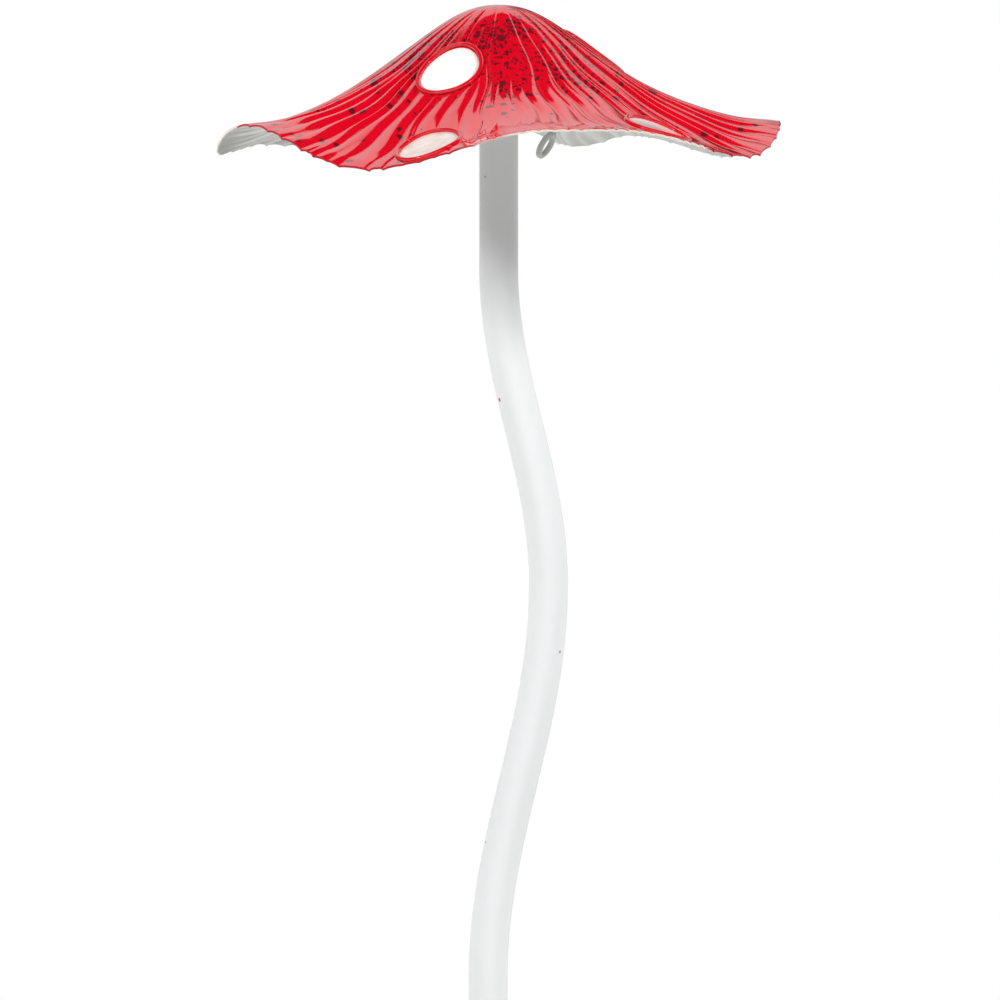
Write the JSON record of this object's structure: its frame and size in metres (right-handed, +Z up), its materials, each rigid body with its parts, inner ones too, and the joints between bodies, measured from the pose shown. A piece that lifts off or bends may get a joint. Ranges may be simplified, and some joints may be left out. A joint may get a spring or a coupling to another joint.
{
  "type": "mushroom garden stake",
  "caption": "Garden stake shaped as a toadstool: a ribbed, wavy pressed-metal cap with ringed spots, on a curved tube stem that slips over a pointed ground spike.",
  "frame": {"origin": "on the axis of the stem's lower end, at the soil line under the collar", "axes": "+Z up along the straight lower stem, +X to the side that the stem bulges to, -Y to the front"},
  "size_m": [0.2326, 0.2326, 0.7404],
  "materials": {
    "red_lacquer": "gloss red lacquer with dark speckles outside and white enamel in the spots, white paint inside",
    "white_paint": "semi-gloss white paint",
    "grey_white_paint": "thin semi-gloss grey-white paint",
    "bare_steel": "turned and drawn steel, zinc plated"
  },
  "bodies": {
    "spike": {"ground_spike": "bare_steel", "spigot_sleeve": "bare_steel"},
    "stem": {"stem_tube": "white_paint", "stem_plug": "bare_steel", "lock_washer": "bare_steel"},
    "nut": {"lock_nut": "bare_steel"},
    "cap": {"cap_shell": "red_lacquer", "crown_plate": "white_paint", "cap_stud": "bare_steel", "hanging_eye": "grey_white_paint"}
  },
  "joints": [
    {"name": "stem_lift", "type": "slide", "parent": "spike", "child": "stem", "axis": [0, 0, 1], "range_m": [0, 0.05]},
    {"name": "cap_lift", "type": "slide", "parent": "stem", "child": "nut", "axis": [0, 0, 1], "range_m": [0, 0.03]},
    {"name": "cap_turn", "type": "hinge", "parent": "nut", "child": "cap", "pos_m": [0.0044, 0, 0.5484], "axis": [0, 0, 1], "continuous": true}
  ]
}
